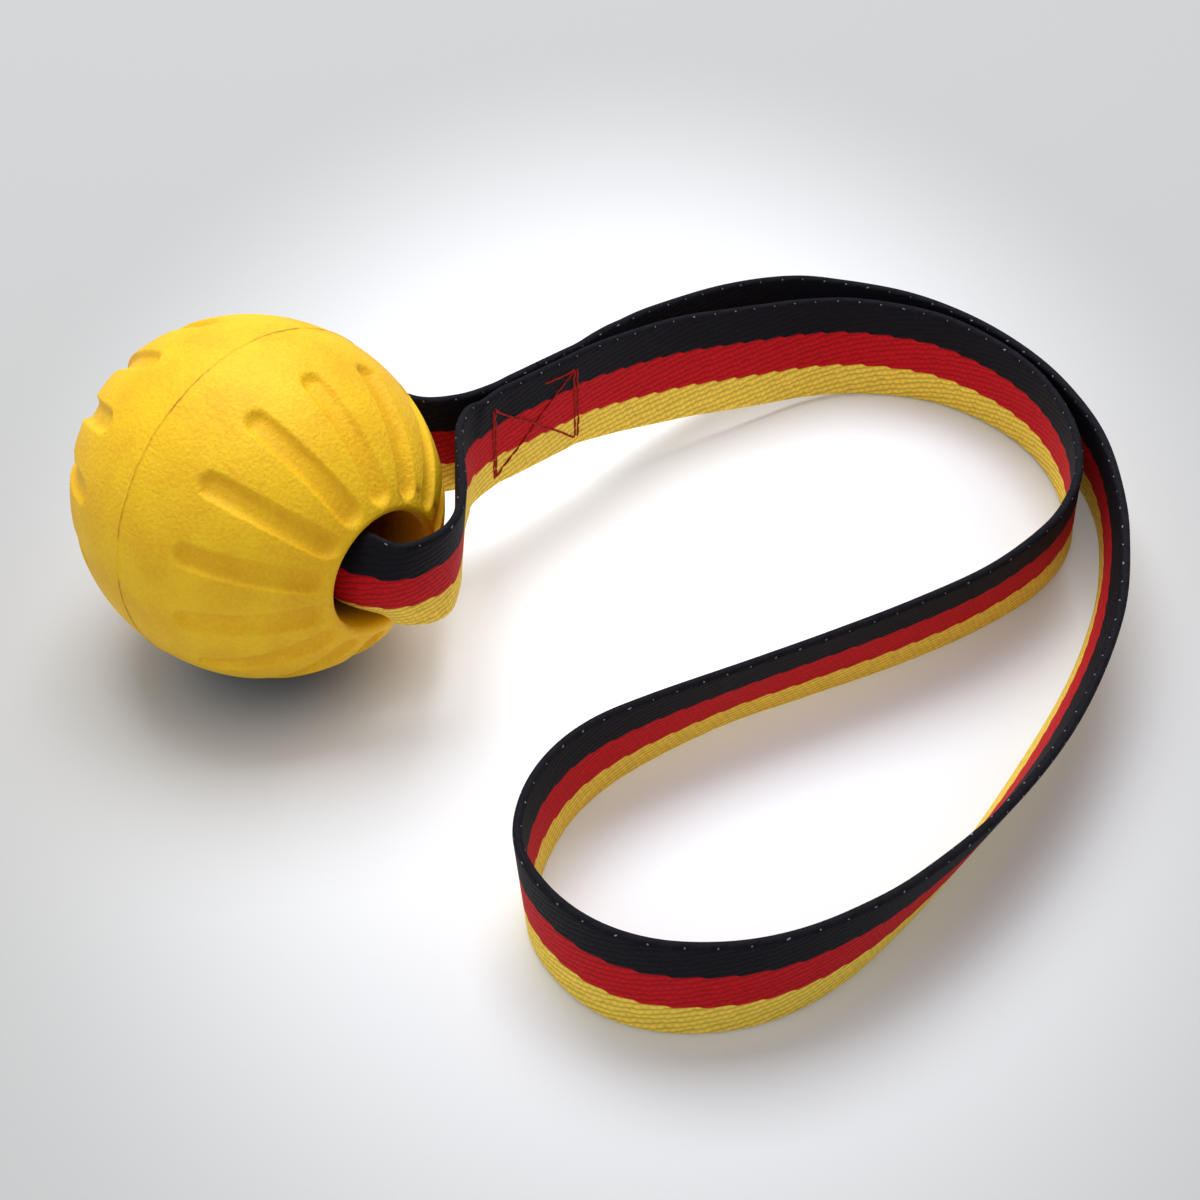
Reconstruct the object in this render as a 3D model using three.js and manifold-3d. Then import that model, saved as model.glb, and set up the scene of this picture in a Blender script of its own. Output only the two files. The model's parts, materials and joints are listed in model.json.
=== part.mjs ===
// Dog tug ball: a moulded foam ball with a through bore, on one length of
// woven webbing that loops through the ball, is sewn to itself in a box seam
// beside it, and runs on as a hand loop.
//
// Millimetres. +X runs along the bore, out of the mouth where the webbing
// shows, +Y runs from the ball towards the seam, +Z is up. The origin is on the
// floor, under the middle of the ball.

import * as THREE from 'three';
import { mergeVertices } from 'three/addons/utils/BufferGeometryUtils.js';
import Module from 'manifold-3d';

const wasm = await Module();
wasm.setup();

// Ball
const BALL_DIAMETER = 70;      // across the parting line, without its flash
const BALL_LENGTH = 75;        // pole to pole, as if the bore weren't there
const BORE_DIAMETER = 24;
const LIP_RADIUS = 1.2;        // rounding where the bore meets the skin
const FLASH_HEIGHT = 0.2;      // ridge that the mould leaves on the parting line
const FLASH_WIDTH = 1;
const GROOVE_COUNT = 14;       // on each half of the ball
const GROOVE_WIDTH = 5.2;
const GROOVE_DEPTH = 1.3;
const GROOVE_START = 12.7;     // from the parting line to the groove's outer end
const GROOVE_LAND = 0.8;       // skin left between the groove's inner end and the lip
const GROOVE_TURN = 6;         // degrees from +Y to the first groove

// Webbing
const STRAP_WIDTH = 25;
const STRAP_THICKNESS = 1.8;
const BORE_CLEARANCE = 0.35;   // webbing to bore wall
const BORE_SHIFT = 3.5;        // the webbing's arc in the bore, off the bore's axis
const BORE_LEAN = -7;          // degrees that the arc is turned about the axis
const MOUTH_INSET = 8;         // from the ball's pole to where the webbing's bow starts to open
const FLOOR_CLEARANCE = 0.1;   // under the webbing's lower edge
const LAYER_GAP = 0.5;         // between the two layers of the seam
const STRETCH_GAP = 0.4;       // between one modelled stretch of webbing and the next
const BUTT_SIDE = 30;          // where the two cut ends meet, counted from the ball's side
const BUTT_GAP = 0.5;          // between the two cut ends
const NECK_SIDE = 11;          // where the neck meets the seam's layers, from the ball's side
const NECK_SPREAD = 1.4;       // how far each layer has left the seam's line there

// Line of the seam's front layer
const SEAM_FROM = 13;          // from the ball's side to where the line starts
const SEAM_X = 13.1;           // the layer's middle there
const SEAM_RISE = 15.2;        // the layer's lower edge there, above the floor
const SEAM_VEER = 0.044;       // how far the line veers to +X for each millimetre outwards
const SEAM_FALL = 0.075;       // how far it falls for each millimetre outwards

// Sewing
const SEAM_FIRST = 17.5;       // from the ball's side to the first bar of stitches, half-way up the webbing
const SEAM_LAST = 41.7;
const SEAM_SLANT = 3.2;        // how far the bars lean back towards the ball at their top
const SEAM_MARGIN = 2.6;       // from the webbing's lower edge to the stitches
const SEAM_HEIGHT = 18.8;
const THREAD_DIAMETER = 0.6;
const THREAD_ROW_GAP = 0.9;    // between the two rows of each bar
const THREAD_CLEARANCE = 0.2;
const TACK_LENGTH = 9;         // short extra run where the sewing starts

// Mesh steps
const GROOVE_STEPS = 8;        // round the bore, from one groove to the next
const SKIN_STEPS = 9;          // from the parting line to the lip
const LIP_STEPS = 4;
const ROUTE_STEPS = 4;         // between two points of the route
const CUPPED_STEPS = 8;        // across the webbing where it is cupped
const THREAD_SIDES = 6;
const THREAD_STEPS = 4;        // along each straight run of thread

const BALL_RADIUS = BALL_DIAMETER / 2;
const BALL_POLE = BALL_LENGTH / 2;
const BORE_RADIUS = BORE_DIAMETER / 2;
const BORE_HEIGHT = BALL_RADIUS + FLASH_HEIGHT;
const LAYER_PITCH = STRAP_THICKNESS + LAYER_GAP;
const UP = new THREE.Vector3(0, 0, 1);
const rad = THREE.MathUtils.degToRad;

// Closed mesh to solid and back, for joining
function solidOf(geometry) {
  geometry.deleteAttribute('normal');
  geometry.deleteAttribute('uv');
  const merged = mergeVertices(geometry, 1e-4);
  return new wasm.Manifold(new wasm.Mesh({
    numProp: 3,
    vertProperties: new Float32Array(merged.attributes.position.array),
    triVerts: new Uint32Array(merged.index.array),
  }));
}

function geometryOf(solid) {
  const mesh = solid.getMesh();
  const geometry = new THREE.BufferGeometry();
  geometry.setAttribute('position', new THREE.BufferAttribute(mesh.vertProperties, 3));
  geometry.setIndex(new THREE.BufferAttribute(mesh.triVerts, 1));
  geometry.computeVertexNormals();
  return geometry;
}

// Outline of half the ball, from the parting line to the middle of the bore, as
// (distance from the bore's axis, distance along it). The lip is the arc that
// touches both the skin's ellipse and the bore's wall.
function halfOutline() {
  const skin = (a) => new THREE.Vector2(BALL_RADIUS * Math.sin(a), BALL_POLE * Math.cos(a));
  const normal = (a) => new THREE.Vector2(Math.sin(a) / BALL_RADIUS, Math.cos(a) / BALL_POLE).normalize();
  const centre = (a) => skin(a).addScaledVector(normal(a), -LIP_RADIUS);
  let low = 0;
  let high = Math.PI / 2;
  for (let i = 0; i < 40; i += 1) {
    const middle = (low + high) / 2;
    if (centre(middle).x > BORE_RADIUS + LIP_RADIUS) high = middle;
    else low = middle;
  }
  const flashAngle = Math.acos(FLASH_WIDTH / BALL_LENGTH);
  const points = [new THREE.Vector2(BALL_RADIUS + FLASH_HEIGHT, 0)];
  for (let i = 0; i <= SKIN_STEPS; i += 1) {
    points.push(skin(THREE.MathUtils.lerp(flashAngle, high, i / SKIN_STEPS)));
  }
  const pivot = centre(high);
  const start = normal(high).angle();
  for (let i = 1; i <= LIP_STEPS; i += 1) {
    const angle = THREE.MathUtils.lerp(start, Math.PI, i / LIP_STEPS);
    points.push(new THREE.Vector2(Math.cos(angle), Math.sin(angle)).multiplyScalar(LIP_RADIUS).add(pivot));
  }
  return { points, lipRadius: skin(high).x };
}

// Depth of the groove at a point of the skin: a round-bottomed channel of even
// width with round ends, on the meridian nearest to the point.
function grooveDepth(along, radius, turn, lipRadius) {
  const pitch = 360 / GROOVE_COUNT;
  const off = THREE.MathUtils.euclideanModulo(turn - GROOVE_TURN + pitch / 2, pitch) - pitch / 2;
  const across = radius * rad(off);
  const half = GROOVE_WIDTH / 2;
  const outside = Math.max(
    GROOVE_START + half - Math.abs(along),
    lipRadius + GROOVE_LAND + half - radius,
    0,
  );
  const reach = Math.hypot(across, outside) / half;
  return reach < 1 ? GROOVE_DEPTH * (1 - reach * reach) : 0;
}

function ballGeometry() {
  const { points, lipRadius } = halfOutline();
  const mirrored = points.slice(1).reverse().map((p) => new THREE.Vector2(p.x, -p.y));
  const outline = [...points, ...mirrored, points[0].clone()];
  const geometry = new THREE.LatheGeometry(outline, GROOVE_STEPS * GROOVE_COUNT);
  // the lathe turns about Y: lay that axis along the bore
  geometry.rotateZ(-Math.PI / 2);
  geometry.rotateX(rad(GROOVE_TURN));
  geometry.deleteAttribute('normal');
  geometry.deleteAttribute('uv');
  const ball = mergeVertices(geometry, 1e-4);
  const position = ball.attributes.position;
  for (let i = 0; i < position.count; i += 1) {
    const [x, y, z] = [position.getX(i), position.getY(i), position.getZ(i)];
    const radius = Math.hypot(y, z);
    if (radius < lipRadius) continue;
    const depth = grooveDepth(x, radius, THREE.MathUtils.radToDeg(Math.atan2(z, y)), lipRadius);
    const inwards = new THREE.Vector3(
      x / BALL_POLE ** 2, y / BALL_RADIUS ** 2, z / BALL_RADIUS ** 2,
    ).normalize().multiplyScalar(-depth);
    position.setXYZ(i, x + inwards.x, y + inwards.y, z + inwards.z);
  }
  ball.computeVertexNormals();
  return ball;
}

// Route of the webbing's middle line, half-way up the tape. Each row of the
// finished route is x, y, height above the floor, lean of the webbing from
// upright (degrees, with its top to the left of the way it runs) and cup
// (degrees that it curls through from its lower to its upper edge).

// Round the ball: degrees from +X, distance off the skin, drop below the bore's
// axis, lean, cup
const roundBall = (rows) => rows.map(([turn, off, drop, lean, cup]) => {
  const [c, s] = [Math.cos(rad(turn)), Math.sin(rad(turn))];
  const reach = off + 1 / Math.hypot(c / BALL_POLE, s / BALL_RADIUS);
  return [reach * c, reach * s, BORE_HEIGHT - drop, lean, cup];
});

// Through the bore: the webbing is wider than the bore, so it lies in it as an
// arc of the bore's own curve, off the wall by a shift towards the seam
const throughBore = (places) => {
  const radius = BORE_RADIUS - BORE_CLEARANCE - STRAP_THICKNESS / 2;
  return places.map((x) => [
    x,
    BORE_SHIFT - radius * Math.cos(rad(BORE_LEAN)),
    BORE_HEIGHT + radius * Math.sin(rad(BORE_LEAN)),
    BORE_LEAN,
    THREE.MathUtils.radToDeg(STRAP_WIDTH / radius),
  ]);
};

// Free of the ball: x, distance from the ball's side, height of the lower corner, lean
const besideBall = (rows) => rows.map(([x, side, height, lean]) => {
  const upright = STRAP_WIDTH / 2 * Math.cos(rad(lean));
  const slant = STRAP_THICKNESS / 2 * Math.abs(Math.sin(rad(lean)));
  return [x, BALL_RADIUS + side, height + FLOOR_CLEARANCE + upright + slant, lean, 0];
});

// The seam's two layers lie side by side, the second one on the -X side
const seamLayer = (shift, lean, sides) => besideBall(sides.map((side) => {
  const out = side - SEAM_FROM;
  return [SEAM_X + SEAM_VEER * out + shift, side, SEAM_RISE - SEAM_FALL * out, lean];
}));

const BACK_LAYER_END = [
  ...seamLayer(-LAYER_PITCH, 5, [BUTT_SIDE, 24, 18]),
  ...seamLayer(-LAYER_PITCH - NECK_SPREAD, 5, [NECK_SIDE]),
];
const BACK_LEG = [
  ...besideBall([[5, 5.2, 15.6, 4]]),
  ...roundBall([
    [94, 3.5, 7, 4, 0],
    [106, 2.9, 6.9, 4, 0],
    [121, 2.5, 6.2, 3, 0],
    [136, 2.2, 6, 2, 0],
    [151, 2.2, 5.4, 2, 0],
    [164, 2.8, 4.4, 2, 0],
    [173, 2.9, 2.4, -2, 13],
    [182, 2.3, 0.5, -3, 75],
    [187, -1.4, 1, -11, 109],
  ]),
];
const IN_BORE = throughBore([
  -BALL_POLE + MOUTH_INSET, -BALL_POLE + 2 * MOUTH_INSET,
  BALL_POLE - 2 * MOUTH_INSET, BALL_POLE - MOUTH_INSET,
]);
const FRONT_LEG = [
  ...roundBall([
    [-8, -1, 0.9, -11, 98],
    [-2, 3, 0.9, -15, 36],
    [6, 5.3, 0.7, -12, 6],
    [15, 5.8, 1, -7, 0],
    [27, 3.9, 1.7, -5, 0],
    [43, 2.7, 3.1, -3, 0],
    [59, 4.8, 4.8, -1, 0],
  ]),
  ...besideBall([[16.2, 6.2, 16.2, -1]]),
];
const FRONT_LAYER = [
  ...seamLayer(NECK_SPREAD, -5, [NECK_SIDE]),
  ...seamLayer(0, -5, [18, 23, 28, 33, 38, 43]),
];
const INNER_RUN = besideBall([
  [15, 50, 11.7, -2.5],
  [16.2, 58.4, 10.2, 0.5],
  [17.5, 65.6, 8.8, 3.4],
  [19.1, 72.6, 7.48, 4.4],
  [20.9, 78.6, 6.22, 4.4],
  [22.7, 84.6, 4.96, 4.4],
  [24.5, 90.6, 3.7, 4.4],
  [28.2, 101, 1.8, 3.5],
  [34, 110.3, 0.5, 1.5],
  [42.4, 116.8, 0, -2],
  [52.7, 120.8, 0, -5.5],
  [65, 121.3, 0, -8],
  [76.7, 118.9, 0, -8.5],
  [86.3, 114.2, 0, -7.5],
  [95, 107.5, 0, -5],
  [101.4, 100.3, 0, -2],
  [106.2, 92, 0, 2.5],
]);
const MIDDLE_RUN = besideBall([
  [109.1, 82, 0, 8],
  [109.8, 71.7, 0, 13],
  [107.8, 55.8, 0, 18],
  [102.8, 38.3, 0, 20],
  [96.1, 20.1, 0, 22],
  [89.5, 2.6, 0, 22.5],
  [84, -17.4, 0, 16.5],
  [82.4, -31.3, 0, 8.5],
  [84.2, -43, 0, 1.5],
  [88.9, -53.4, 0, -3],
  [96.2, -61.7, 0, -5.5],
]);
const FRONT_RUN = besideBall([
  [106.2, -66, 0, -6],
  [117.1, -66.8, 0, -5.5],
  [127.2, -63.4, 0, -6],
  [136, -56.1, 0, -7],
  [142.2, -46.8, 0, -9],
  [146, -35.2, 0, -12.5],
  [147.7, -20.8, 0, -18],
  [147, 2.9, 0, -24],
  [142.4, 30.2, 0, -26],
  [134.3, 58.2, 0, -19],
  [124.2, 79.6, 0, -8],
  [114.6, 94.4, 0, 0],
  [104.3, 106.4, 0, 6],
]);
const OUTER_RUN = besideBall([
  [93.1, 115, 0, 9.5],
  [80.1, 121.3, 0, 10],
  [65.8, 124.8, 0, 9.5],
  [52.3, 125.2, 0, 8],
  [39.9, 122.3, 0.3, 6],
  [27.7, 114.9, 1.2, 4],
  [19.6, 105.6, 2.9, 3],
  [14, 89, 5.9, 2.5],
  [11.4, 68, 9.4, 3],
  [11.3, 55.8, 11.3, 4],
  [11.7, 49, 12.4, 4.5],
]);
const BACK_LAYER_START = seamLayer(-LAYER_PITCH, 5, [43, 38, 34, BUTT_SIDE]);

const RUNS = [
  BACK_LAYER_END, BACK_LEG, IN_BORE, FRONT_LEG, FRONT_LAYER,
  INNER_RUN, MIDDLE_RUN, FRONT_RUN, OUTER_RUN, BACK_LAYER_START,
];
const ROUTE = RUNS.flat();
const LAST = ROUTE.length - 1;
const rowOf = (run) => RUNS.slice(0, RUNS.indexOf(run)).flat().length;

// The webbing bends at its neck, between the ball's loop and the seam
const NECK_BACK = [rowOf(BACK_LAYER_END) + BACK_LAYER_END.length - 1, rowOf(BACK_LEG)];
const NECK_FRONT = [rowOf(FRONT_LAYER) - 1, rowOf(FRONT_LAYER)];

const middle = new THREE.CatmullRomCurve3(
  ROUTE.map(([x, y, z]) => new THREE.Vector3(x, y, z)), false, 'catmullrom', 0.5,
);
const pose = new THREE.CatmullRomCurve3(
  ROUTE.map(([, , , lean, cup]) => new THREE.Vector3(lean, cup, 0)), false, 'catmullrom', 0.5,
);

// Points across the webbing's middle surface at a place on the route, from the
// lower edge up, each with the face's normal to the right of the way it runs
function across(place, steps) {
  const t = place / LAST;
  const tangent = middle.getTangent(t);
  const left = new THREE.Vector3().crossVectors(UP, tangent).normalize();
  const { x: lean, y: cup } = pose.getPoint(t);
  const direction = (angle) => new THREE.Vector3()
    .addScaledVector(UP, Math.cos(rad(angle)))
    .addScaledVector(left, Math.sin(rad(angle)))
    .projectOnPlane(tangent).normalize();
  const normalAt = (share) => new THREE.Vector3()
    .crossVectors(tangent, direction(lean + cup * (share - 0.5))).normalize();
  const points = [new THREE.Vector3()];
  for (let k = 0; k < steps; k += 1) {
    const step = direction(lean + cup * ((k + 0.5) / steps - 0.5));
    points.push(points[k].clone().addScaledVector(step, STRAP_WIDTH / steps));
  }
  // the half-way point lies on the route
  const halfway = points[Math.floor(steps / 2)].clone().lerp(points[Math.ceil(steps / 2)], 0.5);
  const shift = middle.getPoint(t).sub(halfway);
  return points.map((point, k) => ({ point: point.add(shift), normal: normalAt(k / steps) }));
}

// A stretch of webbing between two places on the route, as one closed band
function stretchGeometry(from, to, steps) {
  const at = (place) => middle.getPoint(place / LAST);
  const speed = (place) => at(place + 0.01).distanceTo(at(place - 0.01)) / 0.02;
  const first = from > 0 ? from + STRETCH_GAP / 2 / speed(from) : from;
  const last = to < LAST ? to - STRETCH_GAP / 2 / speed(to) : to;
  const places = [first];
  for (let i = Math.floor(from * ROUTE_STEPS) + 1; i < to * ROUTE_STEPS; i += 1) {
    places.push(i / ROUTE_STEPS);
  }
  places.push(last);

  const half = STRAP_THICKNESS / 2;
  const ring = 2 * (steps + 1);
  const vertices = [];
  for (const place of places) {
    const rows = across(place, steps);
    const face = (offset) => rows.map(({ point, normal }) => point.clone().addScaledVector(normal, offset));
    for (const point of [...face(half), ...face(-half).reverse()]) vertices.push(...point.toArray());
  }
  const triangles = [];
  for (let i = 0; i + 1 < places.length; i += 1) {
    for (let k = 0; k < ring; k += 1) {
      const a = i * ring + k;
      const b = i * ring + (k + 1) % ring;
      triangles.push(a, a + ring, b, b, a + ring, b + ring);
    }
  }
  const end = (places.length - 1) * ring;
  for (let k = 0; k < steps; k += 1) {
    const [a, b, c, d] = [k, k + 1, ring - 2 - k, ring - 1 - k];
    triangles.push(a, b, c, a, c, d, end + a, end + c, end + b, end + a, end + d, end + c);
  }
  const geometry = new THREE.BufferGeometry();
  geometry.setAttribute('position', new THREE.Float32BufferAttribute(vertices, 3));
  geometry.setIndex(triangles);
  geometry.computeVertexNormals();
  return geometry;
}

// Place on the route, between two others, that lies a given way from the ball's side
function placeAtSide(side, from, to) {
  const rising = middle.getPoint(to / LAST).y > middle.getPoint(from / LAST).y;
  let [low, high] = [from, to];
  for (let i = 0; i < 30; i += 1) {
    const half = (low + high) / 2;
    if ((middle.getPoint(half / LAST).y < BALL_RADIUS + side) === rising) low = half;
    else high = half;
  }
  return (low + high) / 2;
}

// The box seam's stitches on one face of the seam: two bars of two rows, a
// cross between them and a short tack along the top. face(side, height) gives a
// point of the thread's middle on that face.
function stitchGeometry(face) {
  const top = SEAM_MARGIN + SEAM_HEIGHT;
  const row = THREAD_ROW_GAP / 2;
  const line = (...ends) => {
    const points = [];
    for (let i = 0; i + 1 < ends.length; i += 1) {
      for (let k = 0; k < THREAD_STEPS; k += 1) {
        points.push(face(
          THREE.MathUtils.lerp(ends[i][0], ends[i + 1][0], k / THREAD_STEPS),
          THREE.MathUtils.lerp(ends[i][1], ends[i + 1][1], k / THREAD_STEPS),
        ));
      }
    }
    points.push(face(...ends.at(-1)));
    return new THREE.CatmullRomCurve3(points, false, 'catmullrom', 0);
  };
  const head = (side) => [side - SEAM_SLANT, top];
  const foot = (side) => [side, SEAM_MARGIN];
  const bar = (side) => line(head(side - row), foot(side - row), foot(side + row), head(side + row));
  const round = new THREE.Shape(Array.from({ length: THREAD_SIDES }, (_, k) => {
    const angle = (2 * Math.PI * k) / THREAD_SIDES;
    return new THREE.Vector2(Math.cos(angle), Math.sin(angle)).multiplyScalar(THREAD_DIAMETER / 2);
  }));
  const threads = [
    bar(SEAM_FIRST),
    bar(SEAM_LAST),
    line(foot(SEAM_FIRST + row), head(SEAM_LAST - row)),
    line(head(SEAM_FIRST + row), foot(SEAM_LAST - row)),
    line(head(SEAM_LAST - TACK_LENGTH), head(SEAM_LAST - row)),
  ].map((path) => solidOf(new THREE.ExtrudeGeometry(round, {
    extrudePath: path, steps: path.points.length - 1, bevelEnabled: false,
  })));
  return geometryOf(threads.reduce((whole, thread) => whole.add(thread)));
}

// A point on the seam's front or back face, off the webbing by the thread
function seamFace(layers, direction) {
  const lift = STRAP_THICKNESS / 2 + THREAD_CLEARANCE + THREAD_DIAMETER / 2;
  return (side, height) => {
    const [from, to] = layers(side);
    const rows = across(placeAtSide(side, from, to), 1);
    return rows[0].point.clone().lerp(rows[1].point, height / STRAP_WIDTH)
      .addScaledVector(rows[0].normal, direction * lift);
  };
}
const frontFace = seamFace(() => [rowOf(FRONT_LAYER), rowOf(INNER_RUN)], 1);
const backFace = seamFace((side) => (side < BUTT_SIDE
  ? [0, NECK_BACK[0]]
  : [rowOf(BACK_LAYER_START) - 1, LAST]), 1);

// The cut ends face each other across a gap in the back layer
const tailEnd = placeAtSide(BUTT_SIDE - BUTT_GAP / 2, 0, NECK_BACK[0]);
const handleEnd = placeAtSide(BUTT_SIDE + BUTT_GAP / 2, LAST - 1, LAST);

const foam = new THREE.MeshStandardMaterial({ color: 0xe8be22, roughness: 0.75, metalness: 0 });
const webbing = new THREE.MeshStandardMaterial({ color: 0x8a141a, roughness: 0.85, metalness: 0 });
const thread = new THREE.MeshStandardMaterial({ color: 0xb01722, roughness: 0.7, metalness: 0 });

const tugBall = new THREE.Group();
function add(name, geometry, material, place = [0, 0, 0]) {
  const mesh = new THREE.Mesh(geometry, material);
  mesh.name = name;
  mesh.position.set(...place);
  tugBall.add(mesh);
}

add('ball', ballGeometry(), foam, [0, 0, BORE_HEIGHT]);
add('strap_ball_loop', stretchGeometry(NECK_BACK[1], NECK_FRONT[0], CUPPED_STEPS), webbing);
add('strap_neck_back', stretchGeometry(...NECK_BACK, 1), webbing);
add('strap_neck_front', stretchGeometry(...NECK_FRONT, 1), webbing);
add('strap_sewn_end', stretchGeometry(tailEnd, NECK_BACK[0], 1), webbing);
add('strap_handle', stretchGeometry(NECK_FRONT[1], handleEnd, 1), webbing);
add('needle_thread', stitchGeometry(frontFace), thread);
add('bobbin_thread', stitchGeometry(backFace), thread);

export default tugBall;
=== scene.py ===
"""Dog tug ball: a moulded foam ball on one length of striped webbing, sewn to itself as a hand loop."""

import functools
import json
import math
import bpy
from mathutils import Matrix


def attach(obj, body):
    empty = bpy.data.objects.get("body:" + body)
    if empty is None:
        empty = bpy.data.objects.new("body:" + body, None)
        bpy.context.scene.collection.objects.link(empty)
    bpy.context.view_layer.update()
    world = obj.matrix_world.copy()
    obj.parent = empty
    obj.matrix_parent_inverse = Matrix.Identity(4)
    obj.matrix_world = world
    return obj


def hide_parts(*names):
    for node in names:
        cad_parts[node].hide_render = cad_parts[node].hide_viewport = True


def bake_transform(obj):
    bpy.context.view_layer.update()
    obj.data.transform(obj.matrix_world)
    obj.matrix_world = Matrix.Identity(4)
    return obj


bl_info = {
    "name": "Dog Tug Ball",
    "version": (1, 0, 0),
    "blender": (4, 5, 0),
    "location": "View3D > Sidebar > Tug Ball",
    "description": "Foam ball, striped webbing and box seam around the packed frame of the part",
    "category": "Add Mesh",
}

import bpy
import numpy as np
from bpy.props import FloatProperty, FloatVectorProperty, IntProperty, PointerProperty
from mathutils import Vector

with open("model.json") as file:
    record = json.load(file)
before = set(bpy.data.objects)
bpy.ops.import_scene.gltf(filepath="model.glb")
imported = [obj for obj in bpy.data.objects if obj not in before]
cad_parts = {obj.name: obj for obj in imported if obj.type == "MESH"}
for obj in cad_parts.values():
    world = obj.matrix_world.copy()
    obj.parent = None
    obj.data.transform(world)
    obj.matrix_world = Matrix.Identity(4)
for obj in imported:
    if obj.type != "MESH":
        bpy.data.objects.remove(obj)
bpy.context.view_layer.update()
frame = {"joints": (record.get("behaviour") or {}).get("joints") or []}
JOINTS = {joint["name"]: joint for joint in frame["joints"]}

MM = 0.001

# Ball, in millimetres and degrees; its height above the floor comes from the frame
BORE_HEIGHT = JOINTS["ball_spin"]["pos_m"][2] / MM
BALL_RADIUS = 35
BALL_POLE = 37.5
BORE_RADIUS = 12
LIP_RADIUS = 1.2
FLASH_HEIGHT = 0.2
FLASH_WIDTH = 1
GROOVE_COUNT = 14
GROOVE_START = 12.7
GROOVE_LAND = 0.8
GROOVE_TURN = 6

# Painted shade deep in the bore and grime on the parting line, in millimetres: where the shade ends in the
# bore, counted from the ball's middle, the way over which it fades there, and half the parting line's width
BORE_SHADE_END = 31
BORE_FADE = 9
PARTING_HALF = 0.26
# Waves round the ball, and size, of the parting line's straying
STRAYS = ((9, 0.1), (23, 0.08), (61, 0.06))
# Dark spots by the visible mouth: degrees round the bore from +Y, distance from its axis, size
DARK_SPOTS = ((19, 17, 0.9), (34, 19.4, 0.6), (45, 16.6, 0.8), (64, 15.6, 0.7))
DARK_SPOT_STRENGTH = 0.8

# Ball's surface: counts of steps, and the distances in millimetres at which two points are merged
# and a point counts as on the skin or in the bore
OUTLINE_SKIN = 64
OUTLINE_LIP = 8
OUTLINE_BORE = 12
OUTLINE_FLASH = 4
LIP_HALVINGS = 40
SPIN_STEPS = 36 * GROOVE_COUNT
MERGE_DISTANCE = 0.01
SKIN_SLACK = 0.05

# Webbing, in millimetres and degrees
STRAP_WIDTH = 25
STRAP_THICKNESS = 1.8
SELVEDGE = 0.9
BORE_CLEARANCE = 0.35
BORE_SHIFT = 3.5
BORE_LEAN = -7
MOUTH_INSET = 8
FLOOR_CLEARANCE = 0.1
LAYER_PITCH = 2.3
BUTT_SIDE = 30
BUTT_GAP = 0.5
NECK_SIDE = 11
NECK_SPREAD = 1.4

# Line of the seam's front layer, in millimetres, and lean of its two layers, in degrees
SEAM_FROM = 13
SEAM_X = 13.1
SEAM_RISE = 15.2
SEAM_VEER = 0.044
SEAM_FALL = 0.075
SEAM_LEAN = 5

# Webbing's surface: millimetres from ring to ring, counts of steps, and a small share of a row
RING_STEP = 0.9
FLAT_STEPS = 24
SELVEDGE_STEPS = 5
CUP_STEPS = 25
ROW_STEPS = 40
PLACE_STEPS = 2000
NUDGE = 0.001

# Edges that turn further than this, in degrees, aren't shaded smooth
SHARP_ANGLE = 60

# Box seam, in millimetres
SEAM_FIRST = 17.5
SEAM_LAST = 41.7
SEAM_END = 44
SEAM_SLANT = 3.2
SEAM_MARGIN = 2.6
SEAM_HEIGHT = 18.8
THREAD_ROW_GAP = 0.9
TACK_LENGTH = 9
STITCH_WANDER = 0.3

# One stitch: its rings and sides, and its rise in the middle and sink at its ends, in thread radii
STITCH_RINGS = 8
STITCH_SIDES = 8
STITCH_RISE = 0.45
STITCH_SINK = 1.1

# Foam's skin: its clouds and pebbles in millimetres, and how much painted shade the grooves and pebbles add
CLOUD_SIZE = 9.09
PEBBLE_HEIGHT = 0.3
GROOVE_SHADE = 0.15
PEBBLE_SHADE = -0.6

# Weave's unevenness, in waves a millimetre, and how far it leads the ribs astray, in ribs
WEAVE_NOISE = 0.45
RIB_STRAY = 0.9
# Ribs: height in millimetres, roundness, yarns on each in one repeat, and the yarns' shift from rib
# to rib and their dip
RIB_HEIGHT = 0.25
RIB_ROUNDNESS = 0.7
RIB_YARNS = 4
YARN_SHIFT = 0.5
YARN_DIP = 0.35
# Share of a repeat where the bands' teeth fall back, and softness of their borders, in millimetres
TOOTH_FALL = 0.7
BORDER_BELOW = 0.35
BORDER_ABOVE = 0.05
# Light on the yarn in a valley, and what a rib and the unevenness add to it
VALLEY_LIGHT = 0.38
RIB_LIGHT = 0.5
UNEVEN_LIGHT = 0.25
# Specks at the webbing's edges: painted highlights on the weft loops at the black edge, dark weft at the
# gold edge. In millimetres, how much longer than wide they are, and how far they stray, in repeats along
# the tape and in millimetres across it
SPECK_INSET = 0.4
SPECK_RADIUS = 0.18
SPECK_CORE = 0.4 * SPECK_RADIUS
SPECK_STRETCH = 1.43
SPECK_STRAY = 0.5

# Thread's plies: from one to the next, in thread widths, and height in millimetres
PLY_PITCH = 0.7255
PLY_HEIGHT = 0.1
# From one slanted band of a wave texture to the next, at a scale of 1
SLANTED_BAND = 0.2 * math.pi / math.sqrt(3)

# Camera, for a square picture: degrees, metres
CAMERA_AZIMUTH = 42
CAMERA_ELEVATION = 39.5
CAMERA_DISTANCE = 0.527
CAMERA_VIEW = 26.5
LOOK_AT = Vector((0.04206, 0.05267, 0))

# Floor, in metres: its size, the pool of light (middle, turn in degrees, length to its width)
# and the ball's shade (middle, reach, reach of its darkest part)
FLOOR_RADIUS = 4
FLOOR_SIDES = 96
POOL_AT = Vector((0.042, 0.066, 0))
POOL_TURN = 42
POOL_STRETCH = 1.572
SHADE_AT = Vector((0.006, -0.006, 0))
SHADE_REACH = 0.036
SHADE_CORE = 0.2 * SHADE_REACH

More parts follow.
